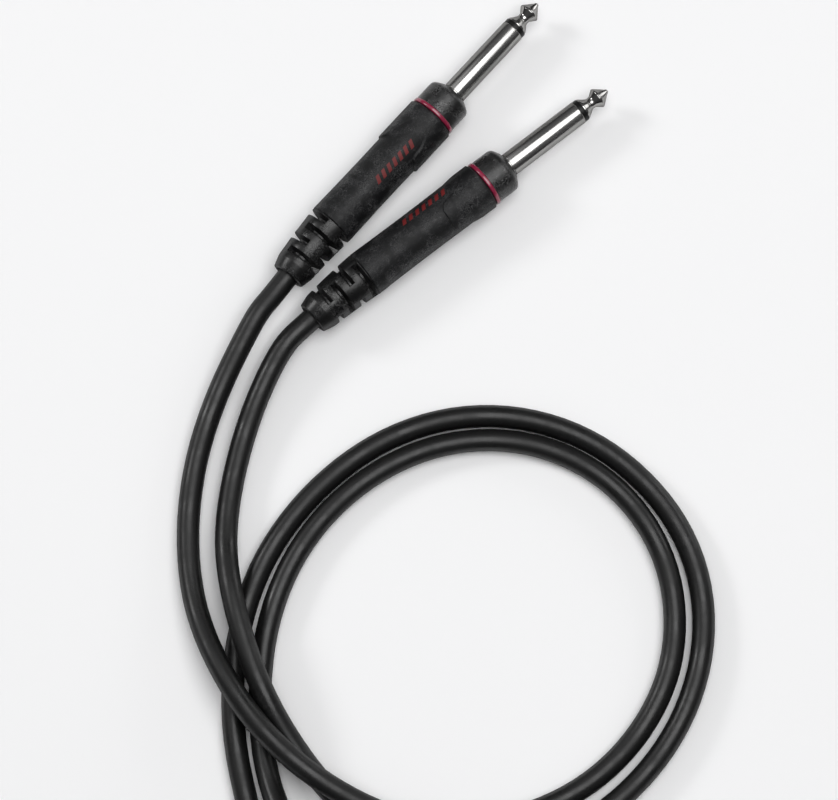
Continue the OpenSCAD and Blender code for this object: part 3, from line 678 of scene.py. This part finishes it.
def leaving(side):
    """Controls that take the cord through the flexed boot and out of it."""
    last = BOOT_END - 2 * EXIT_STEP
    count = round((CORD_START - last) / EXIT_STEP) + 1
    return [on_axis(side, last + i * EXIT_STEP) for i in reversed(range(count + 1))]


def lying(points, lift):
    return [Vector((x, y, z + lift)) for x, y, z in points]


def loop_strand(strand, lift):
    return [polar(LOOP_CENTRE, row[strand], row[0], lift) for row in LOOP]


def cord_controls():
    """Controls of one cubic spline from boot A through the coil to boot B, in millimetres."""
    lift = sizes().cord_d / 2
    coil = Coil(sizes().cord_d)
    low_end, way_in, high_end, way_out = coil.ends()
    from_a = leaving("a") + lying(HEAD_A, lift) + loop_strand(1, lift) + lying(TAIL_A, lift)
    from_b = leaving("b") + lying(HEAD_B, lift) + loop_strand(2, lift) + lying(TAIL_B, lift)
    high = [high_end + way_out * coil.end_len, high_end, coil.point(coil.turns)]
    low = [coil.point(0), low_end, low_end - way_in * coil.end_len]
    return from_a + high + list(reversed(coil.controls())) + low + list(reversed(from_b))


# ---------------------------------------------------------------- operators


class CABLE_OT_stage(bpy.types.Operator):
    """Floor, lamps, world and camera"""

    bl_idname = "cable.stage"
    bl_label = "Stage"

    def execute(self, context):
        settings = context.scene.cable_stage
        self.floor(settings)
        self.world(context.scene)
        self.lamps()
        self.camera(settings)
        context.scene.view_settings.view_transform = "Standard"
        return {"FINISHED"}

    def floor(self, settings):
        floor = primitive(bpy.ops.mesh.primitive_plane_add, "floor", size=8)
        material, tree, shader = new_material("Pale floor")
        grey = settings.floor_grey
        connect(tree, shader, Base_Color=(grey, grey, grey * 1.004), Roughness=0.9, Specular_IOR_Level=0.1)
        floor.data.materials.append(material)

    def world(self, scene):
        """Dim grey room, a little lighter overhead"""
        world = bpy.data.worlds.new("Room")
        world.use_nodes = True
        scene.world = world
        tree = world.node_tree
        way = add(tree, "ShaderNodeTexCoord").outputs["Generated"]
        height = add(tree, "ShaderNodeSeparateXYZ", Vector=way).outputs["Z"]
        ramp = add(tree, "ShaderNodeValToRGB", Fac=height)
        level, overhead = ramp.color_ramp.elements
        level.position, level.color = 0.0, (0.02, 0.02, 0.0205, 1)
        overhead.position, overhead.color = 0.9, (0.19, 0.19, 0.194, 1)
        connect(tree, tree.nodes["Background"], Color=ramp.outputs[0])

    def aimed(self, name, data, away):
        """New object at the vector away from the aim point, turned to look at that point"""
        obj = bpy.data.objects.new(name, data)
        bpy.context.scene.collection.objects.link(obj)
        obj.location = Vector(bpy.context.scene.cable_stage.aim) + away
        obj.rotation_euler = (-away).to_track_quat("-Z", "Y").to_euler()
        return obj

    def lamps(self):
        for name, place, size, watts, seen in (
            ("key", (0.2, -0.02, 1.3), 1.15, 12.1, True),
            ("low left", (-1.0, 0.46, 0.68), 0.33, 4.0, True),
            ("low front", (0.78, 0.6, 0.34), 0.5, 1.5, True),
            ("soft left", (-0.8, 0.55, 1.1), 1.0, 1.3, True),
            ("soft right", (0.9, -0.1, 1.2), 1.2, 0.5, False),
        ):
            lamp = bpy.data.lights.new(name, "AREA")
            lamp.shape, lamp.size, lamp.energy = "DISK", size, watts
            self.aimed(name, lamp, Vector(place)).visible_glossy = seen

    def camera(self, settings):
        camera = bpy.data.cameras.new("camera")
        camera.lens = settings.focal
        camera.sensor_width = 36
        camera.sensor_fit = "HORIZONTAL"
        camera.clip_start = 0.01
        elevation = math.radians(settings.elevation)
        back = Vector((0, -math.cos(elevation), math.sin(elevation)))
        bpy.context.scene.camera = self.aimed("camera", camera, settings.distance * back)


class CABLE_OT_cord(bpy.types.Operator):
    """The cord as one curve from boot to boot with the coil's strap, and its jacket inside the plugs"""

    bl_idname = "cable.cord"
    bl_label = "Cord"

    def execute(self, context):
        controls = cord_controls()
        data = bpy.data.curves.new("cord", "CURVE")
        data.dimensions = "3D"
        data.resolution_u = 4
        data.render_resolution_u = 4
        data.bevel_depth = sizes().cord_d / 2 * MM
        data.bevel_resolution = 6
        data.use_fill_caps = True
        spline = data.splines.new("NURBS")
        spline.points.add(len(controls) - 1)
        for point, control in zip(spline.points, controls):
            point.co = (*(control * MM), 1)
        spline.order_u = 4
        spline.use_endpoint_u = False
        spline.use_smooth = True
        cord = bpy.data.objects.new("cord", data)
        context.scene.collection.objects.link(cord)
        material = moulded("Cord jacket", finish().cord, 0.38, smudge=0.008, scuff=0.0022, depth=0.000015,
                           spread=0.1, scuff_lift=0.01, specular=0.42)
        finish_piece(cord, material, "core", "cord_jacket", "cable_run_a", "cable_coil", "cable_run_b")
        bpy.ops.cable.strap()
        self.inner_ends(material)
        return {"FINISHED"}

    def inner_ends(self, material):
        """The jacket inside the boot, to where it is stripped with a clean edge"""
        r, bore = sizes().cord_d / 2, 1.97
        stripped_to, back = -30.0, CORD_START - 1
        jacket = turn("jacket", rounded((bore, stripped_to), (r, stripped_to, 0.15), (r, back, 0.1),
                                        (bore, back)), bored=True)
        for_both(jacket, "jacket_inside", "core", "cord_jacket", material, ["jacket_end"])


class CABLE_OT_strap(bpy.types.Operator):
    """Woven strap round the coil, its free end lying over its start"""

    bl_idname = "cable.strap"
    bl_label = "Coil strap"

    half_w, half_t = 8, 0.4
    # Inner face of the strap round the coil, from the coil's centre and the floor, and its corners
    near_y, far_y, low, high, corner = -19.8, -41.47, 0.8, 26.1, 3.0

    def execute(self, context):
        t = self.half_t
        loop = self.band(self.near_y + t, self.far_y - t, self.low - t, self.high + t, self.corner + t)
        centre_x, centre_y = COIL_CENTRE
        strap = primitive(bpy.ops.mesh.primitive_circle_add, "coil_strap", vertices=3, radius=MM,
                          fill_type="NOTHING")
        edit(strap, "VERT")
        pick(strap, lambda place, item: item.index == 0)
        bpy.ops.mesh.delete(type="VERT")
        leave_edit()
        first_y, first_z = loop[0]
        for vertex, x in zip(strap.data.vertices, (-self.half_w, self.half_w)):
            vertex.co = Vector((centre_x + x, centre_y + first_y, first_z)) * MM
        edit(strap, "EDGE", "SELECT")
        for (y0, z0), (y1, z1) in zip(loop, loop[1:]):
            step = (0, (y1 - y0) * MM, (z1 - z0) * MM)
            bpy.ops.mesh.extrude_edges_move(TRANSFORM_OT_translate={"value": step})
        leave_edit()
        apply_modifier(strap, "SOLIDIFY", thickness=2 * t * MM, offset=0)
        soften(strap, 0.12, angle=50)
        finish_piece(strap, woven("Woven strap", finish().strap), "core", "tie_strap", "coil_tie")
        return {"FINISHED"}

    def band(self, y_in, y_out, z_low, z_high, r, steps=8):
        """Rounded rectangle from the middle of the top, once round, and over its own start."""
        corners = (((y_out + r, z_high - r), 90), ((y_out + r, z_low + r), 180),
                   ((y_in - r, z_low + r), 270), ((y_in - r, z_high - r), 360))
        middle = (y_in + y_out) / 2
        overlap = ((4, 0.0), (1.5, 0.35), (-1, 0.85), (-4, 0.85), (-6.5, 0.95), (-8, 1.25))
        points = [(middle, z_high)]
        for (cy, cz), start in corners:
            for i in range(steps + 1):
                a = math.radians(start + 90 * i / steps)
                points.append((cy + r * math.cos(a), cz + r * math.sin(a)))
        return points + [(middle + y, z_high + lift) for y, lift in overlap]


class CABLE_OT_contacts(bpy.types.Operator):
    """Plated tip and sleeve contacts, with the insulating ring between them"""

    bl_idname = "cable.contacts"
    bl_label = "Contacts"

    def execute(self, context):
        metal = finish().metal
        for_both(self.tip(), "tip", "core", "plated_contact",
                 lambda side: plated("Polished tip " + side, metal, side, dull=0.16), ["tip_contact"])
        for_both(self.sleeve(), "sleeve", "core", "plated_contact",
                 lambda side: plated("Plated sleeve " + side, metal, side), ["sleeve_contact"])
        bore, r, front, back, spigot_end = ROD_R + EASE, 3.1, 24.6, 23.3, 14.3
        ring = turn("insulator", rounded(
            (bore, front), (r, front, 0.12), (r, back, 0.12), (CORE_R, back), (CORE_R, spigot_end),
            (bore, spigot_end)), bored=True)
        black = plain("Black insulator", (0.004, 0.004, 0.004), 0.4, specular=0.25)
        for_both(ring, "insulator", "core", "black_insulator", black, ["tip_insulator"])
        return {"FINISHED"}

    def tip(self):
        """Cone with a small round point, head, neck, flare and skirt, on its rod"""
        end, rod_end = sizes().shaft_len, -18.6
        point_r, point_len, head_r, neck_r, skirt_r = 0.6, 0.48, 2.8, 1.55, 2.9
        point_z, skirt_z = end - point_len, end - 8.4
        nose = [(point_r * math.sin(a), point_z + point_len * math.cos(a)) for a in (0.12, 0.5, 0.9, 1.25)]
        rest = rounded(
            (point_r, point_z), (head_r, end - 3.2, 0.3), (head_r, end - 3.5, 0.12),
            (neck_r, end - 5.1, 0.35), (neck_r, end - 6.1, 0.4), (skirt_r, end - 8.0, 0.2),
            (skirt_r, skirt_z), (ROD_R, skirt_z), (ROD_R, rod_end))
        return turn("tip", nose + rest)

    def sleeve(self):
        """Shaft, flange and boss with its thread"""
        r, bore, front, back = sizes().shaft_d / 2, 2.1, sizes().sleeve_end, -sizes().collar_len
        relief_r, relief_z, boss_r, boss_end, spigot_r, spigot_end = r - 0.3, 0.4, 4.36, -15.0, 3.5, -17.0
        body = turn("sleeve", rounded(
            (bore, front), (r, front, 0.22), (r, relief_z, 0.06), (relief_r, relief_z),
            (relief_r, FLANGE_BACK), (FLANGE_R, FLANGE_BACK, 0.15), (FLANGE_R, back), (PILOT_R, back),
            (PILOT_R, back - 1.15), (boss_r, back - 1.45), (boss_r, boss_end + 0.25), (4.1, boss_end),
            (spigot_r, boss_end), (spigot_r, spigot_end, 0.1), (bore, spigot_end)), bored=True)
        thread = ridge("thread", boss_r + 0.1, back - 1.75, 0.29, sizes().thread_pitch, 7)
        return join(body, thread)


class CABLE_OT_collar(bpy.types.Operator):
    """Black collar with its rounded shoulder"""

    bl_idname = "cable.collar"
    bl_label = "Collar"

    def execute(self, context):
        r, back, bore, face_r, shoulder = sizes().collar_d / 2, -sizes().collar_len, 3.225, 3.825, -1.45
        collar = turn("collar", rounded(
            (bore, FLANGE_BACK), (bore, 0, 0.1), (face_r, 0, 0.35), (r, shoulder, 0.95), (r, back, 0.1),
            (FLANGE_R + EASE, back), (FLANGE_R + EASE, FLANGE_BACK)), bored=True)
        for_both(collar, "collar_shell", "core", "collar_plastic", self.material, ["collar"])
        return {"FINISHED"}

    def material(self, side):
        return moulded("Collar " + side, finish().collar, 0.28, grain=0.0005, smudge=0.003, scuff=0.0014,
                       depth=0.00006, spread=0.14, smudge_gain=2.2, scuff_lift=0.07, specular=0.6,
                       edge_rough=0.45)


class CABLE_OT_colour_ring(bpy.types.Operator):
    """Red coding ring with rounded edges"""

    bl_idname = "cable.colour_ring"
    bl_label = "Colour ring"

    def execute(self, context):
        r, front, bore, edge = sizes().ring_d / 2, -sizes().collar_len, PILOT_R + EASE, 0.42
        back = front - sizes().ring_len
        ring = turn("ring", rounded((bore, front), (r, front, edge), (r, back, edge), (bore, back), steps=5),
                    bored=True)
        red = plain("Colour ring", finish().ring, 0.2, grain=0.0005, depth=0.000004, specular=0.9)
        for_both(ring, "coding_ring", "core", "red_ring", red, ["colour_ring"])
        return {"FINISHED"}


class CABLE_OT_barrel(bpy.types.Operator):
    """Soft waisted grip with its finger pads, and the plain bars printed on it"""

    bl_idname = "cable.barrel"
    bl_label = "Barrel grip"

    bore, pad_bore = 5.62, 5.9
    front_r, waist_r, rear_r = 6.40, 6.14, 6.30
    chamfer, pad_edge = 0.3, 0.25
    pad_len = 13

    def execute(self, context):
        grip = self.grip()
        rolls = [ROLLS["barrel"][side] for side in "ab"]
        bars = self.bars(grip)
        for_both(grip, "grip", "barrel", "grip_rubber", self.material, ["barrel_grip"], rolls)
        red = plain("Printed bars", finish().mark, 0.5, grain=0.0004, specular=0.3)
        for_both(bars, "grip_bars", "barrel", "red_ring", red, (), rolls)
        return {"FINISHED"}

    def radius(self, t):
        """Radius of the waisted grip at a share t of its length"""
        mid = 2 * self.waist_r - (self.front_r + self.rear_r) / 2
        return self.front_r * (1 - t) ** 2 + 2 * mid * t * (1 - t) + self.rear_r * t * t

    def grip(self):
        front, rear = BARREL_FRONT, BARREL_FRONT - sizes().barrel_len
        top, end = front - self.chamfer, rear + self.chamfer
        steps = 12
        waisted = [(self.radius(i / steps), top + (end - top) * i / steps) for i in range(steps + 1)]
        sleeve = turn("grip", [(self.bore, front), (self.front_r - self.chamfer, front)] + waisted
                      + [(self.rear_r - self.chamfer, rear), (self.bore, rear)], bored=True, segments=128)
        pad_r, pad_end, edge = sizes().pad_d / 2, top - self.pad_len, self.pad_edge
        pads = turn("pads", [(self.pad_bore, top), (self.front_r, top), (pad_r, top - edge),
                             (pad_r, pad_end + edge), (pad_r - edge, pad_end), (self.pad_bore, pad_end)],
                    bored=True, segments=128)
        cut(pads, self.arch(top, pad_r), "INTERSECT")
        cut(sleeve, pads, "UNION")
        soften(sleeve, 0.16, segments=3, angle=24, shade=30)
        return sleeve

    def arch(self, top, pad_r):
        """Block whose outline narrows behind the front to leave the arch between the pads."""
        half, corner, reach = 4.6, 2.5, pad_r + 1
        start, length, steps, over, corner_steps = 1.0, 9.0, 12, 1.0, 5
        block = primitive(bpy.ops.mesh.primitive_cube_add, "arch", size=2 * MM)
        for vertex in block.data.vertices:
            vertex.co = Vector((math.copysign(reach, vertex.co.x), math.copysign(4 * pad_r, vertex.co.y),
                                top + over if vertex.co.z > 0 else top - start)) * MM
        edit(block)
        pick(block, lambda place, face: face.normal.z < -0.9, "polygons")
        width, z = reach, top - start
        outline = []
        for i in range(steps + 1):
            share = 1 - smoothstep(i / steps)
            outline.append((half + (pad_r - half) * share, top - start - length * i / steps))
        for i in range(1, corner_steps + 1):
            a = math.radians(90 * i / corner_steps)
            outline.append((half - corner + corner * math.cos(a),
                            top - self.pad_len + corner - corner * math.sin(a)))
        outline[0] = (pad_r, z - 0.001)
        for new_width, new_z in outline:
            bpy.ops.mesh.extrude_region_move(TRANSFORM_OT_translate={"value": (0, 0, (new_z - z) * MM)})
            bpy.ops.transform.resize(value=(new_width / width, 1, 1), center_override=(0, 0, 0))
            width, z = new_width, new_z
        leave_edit()
        return block

    def bars(self, grip):
        """Row of slanted bars laid on the grip as a thin film"""
        count, pitch, first, aside, height, width = 7, 2.1, -18.6, -8, 2.7, 1.1
        slant, roll, lift, film = 0.35, 19, 0.03, 0.05
        bars = []
        for i in range(count):
            centre = Vector((aside, 0, first - i * pitch)) * MM
            bar = primitive(bpy.ops.mesh.primitive_grid_add, "bar", x_subdivisions=3, y_subdivisions=10,
                            size=MM, location=centre, rotation=(0, math.pi / 2, 0))
            edit(bar, action="SELECT")
            bpy.ops.transform.resize(value=(1, height, width), center_override=centre)
            leave_edit()
            for vertex in bar.data.vertices:
                vertex.co.z += slant * vertex.co.y
            bars.append(bar)
        marks = join(bars[0], *bars[1:])
        marks.data.transform(Matrix.Rotation(math.radians(roll), 4, "Z"))
        apply_modifier(marks, "SHRINKWRAP", target=grip, wrap_method="NEAREST_SURFACEPOINT",
                       wrap_mode="ABOVE_SURFACE", offset=lift * MM)
        apply_modifier(marks, "SOLIDIFY", thickness=film * MM, offset=0)
        clean_shell(marks)
        smooth(marks)
        return marks

    def material(self, side):
        return moulded("Soft grip " + side, finish().grip, 0.38, smudge=0.0035, scuff=0.0011, depth=0.00008,
                       spread=0.15, scuff_lift=0.085, specular=0.27, side=side)


class CABLE_OT_boot(bpy.types.Operator):
    """Strain relief with paired slots, flexed towards its cord"""

    bl_idname = "cable.boot"
    bl_label = "Strain relief"

    taper_len = 14.5

    def execute(self, context):
        for side in "ab":
            boot = self.sleeve()
            self.slots(boot)
            soften(boot, 0.18, angle=28, shade=34)
            self.flex(boot, side)
            boot.name = "strain_relief_" + side
            seat(boot, side)
            finish_piece(boot, self.material(side), "boot_unit_" + side, "boot_rubber", "boot_" + side)
        return {"FINISHED"}

    def outer(self, s):
        """Radius at a distance s behind the boot's front face"""
        front_r, narrowing = 6.25, 0.95
        return front_r - narrowing * s / self.taper_len

    def sleeve(self):
        front, end, flange_front, flange_back = BOOT_FRONT, BOOT_END, -42.9, -45.3
        bore, flange_r, neck_r = 3.02, 4.75, 4.25
        return turn("boot", rounded(
            (bore, flange_front), (flange_r, flange_front, 0.15), (flange_r, flange_back, 0.15),
            (neck_r, flange_back), (neck_r, front), (self.outer(0), front),
            (self.outer(self.taper_len), end + 3.1, 0.15), (4.5, end + 0.2, 0.15), (3.95, end, 0.2),
            (3.52, end, 0.15), (bore, end + 1)), bored=True, segments=128)

    def slots(self, boot):
        floor_r, floor_w, mouth_w, over, steps = 3.4, 0.6, 1.75, 1.0, 40
        for i, z in enumerate(slot_stations()):
            r = self.outer(BOOT_FRONT - z)
            spread = (mouth_w - floor_w) / 2 / (r - floor_r)
            wide = floor_w / 2 + spread * (r + over - floor_r)
            for turned in (0, 180):
                slot = sector("slot", ((floor_r, z - floor_w / 2), (r + over, z - wide),
                                       (r + over, z + wide), (floor_r, z + floor_w / 2)),
                              90 * i + turned + BRIDGE_ANGLE / 2, 180 - BRIDGE_ANGLE, steps)
                cut(boot, slot)

    def flex(self, boot, side):
        boot.data.transform(Matrix.Rotation(math.radians(ROLLS["boot"][side]), 4, "Z"))
        for pivot in reversed(slot_stations()):
            edit(boot, "VERT")
            pick(boot, lambda place, item: place.z < pivot)
            bpy.ops.transform.rotate(value=flex_step(), orient_axis="X", orient_type="GLOBAL",
                                     center_override=(0, 0, pivot * MM))
            leave_edit()

    def material(self, side):
        return moulded("Strain relief " + side, finish().boot, 0.24, grain=0.0005, smudge=0.0045,
                       scuff=0.0015, depth=0.00004, spread=0.1, smudge_gain=1.9, scuff_lift=0.05,
                       specular=0.42, side=side)


class CABLE_OT_inner(bpy.types.Operator):
    """Finishes of the inner pieces, which keep their CAD shape"""

    bl_idname = "cable.inner"
    bl_label = "Inner pieces"

    def execute(self, context):
        brass, tin = (0.72, 0.52, 0.25), (0.62, 0.62, 0.63)
        for piece, name, colour, rough, metallic in (
            ("rear_bush", "Grey insulator", (0.05, 0.05, 0.052), 0.4, 0.0),
            ("tip_terminal", "Brass", brass, 0.28, 1.0),
            ("sleeve_terminal", "Brass strap", brass, 0.3, 1.0),
            ("tip_solder", "Solder", tin, 0.35, 1.0),
            ("sleeve_solder", "Solder tail", tin, 0.35, 1.0),
            ("barrel_shell", "Rigid shell", (0.02, 0.02, 0.021), 0.4, 0.0),
            ("liner", "Liner film", (0.75, 0.72, 0.62), 0.35, 0.0),
            ("shield", "Copper braid", (0.66, 0.34, 0.2), 0.35, 1.0),
            ("dielectric", "White dielectric", (0.82, 0.82, 0.8), 0.45, 0.0),
            ("conductor", "Copper", (0.7, 0.36, 0.21), 0.3, 1.0),
        ):
            material = plain(name, colour, rough, metallic)
            for side in "ab":
                coat(NODES[piece + "_" + side], material)
        return {"FINISHED"}


class CABLE_PT_panel(bpy.types.Panel):
    """Operators of the cable; the cord's own one also makes the strap"""

    bl_idname = "CABLE_PT_panel"
    bl_label = "Instrument Cable"
    bl_space_type = "VIEW_3D"
    bl_region_type = "UI"
    bl_category = "Cable"

    def draw(self, context):
        for operator in OPERATORS:
            self.layout.operator(operator.bl_idname)


SETTINGS = {"cable_sizes": CableSizes, "cable_finish": CableFinish, "cable_stage": CableStage}
OPERATORS = (CABLE_OT_stage, CABLE_OT_strap, CABLE_OT_cord, CABLE_OT_contacts, CABLE_OT_collar,
             CABLE_OT_colour_ring, CABLE_OT_barrel, CABLE_OT_boot, CABLE_OT_inner)
CLASSES = (*SETTINGS.values(), *OPERATORS, CABLE_PT_panel)


def register():
    for kind in CLASSES:
        bpy.utils.register_class(kind)
    for name, kind in SETTINGS.items():
        setattr(bpy.types.Scene, name, PointerProperty(type=kind))


def unregister():
    for name in SETTINGS:
        delattr(bpy.types.Scene, name)
    for kind in reversed(CLASSES):
        bpy.utils.unregister_class(kind)


def main():
    register()
    bpy.ops.cable.stage()
    bpy.ops.cable.cord()
    bpy.ops.cable.contacts()
    bpy.ops.cable.collar()
    bpy.ops.cable.colour_ring()
    bpy.ops.cable.barrel()
    bpy.ops.cable.boot()
    bpy.ops.cable.inner()


if __name__ == "__main__":
    main()
